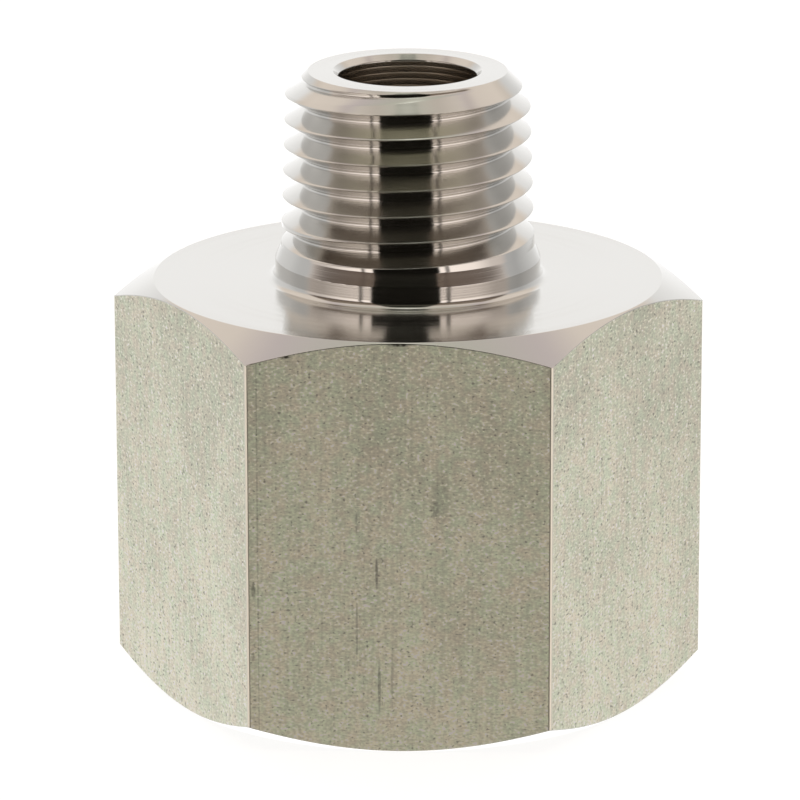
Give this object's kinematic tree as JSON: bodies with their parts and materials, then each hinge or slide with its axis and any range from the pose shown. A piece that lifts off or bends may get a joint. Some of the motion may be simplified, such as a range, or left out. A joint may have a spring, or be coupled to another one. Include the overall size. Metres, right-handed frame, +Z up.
{
  "type": "pneumatic hex reducing adapter",
  "caption": "Hexagon bar adapter with a tapered male thread on a short stub above and a larger tapered female port below, joined by a straight bore.",
  "frame": {"origin": "centre of the bottom end face, on the axis of the bore", "axes": "+Z up the bore from the female port to the end of the male thread, +X through a corner of the hexagon, +Y square to a flat"},
  "size_m": [0.0324, 0.028, 0.0342],
  "materials": {
    "stainless_steel": "bright turned ends and stub, with the bar's own dull grey skin left on the flats"
  },
  "bodies": {
    "root": {"adapter_body": "stainless_steel"}
  },
  "joints": []
}
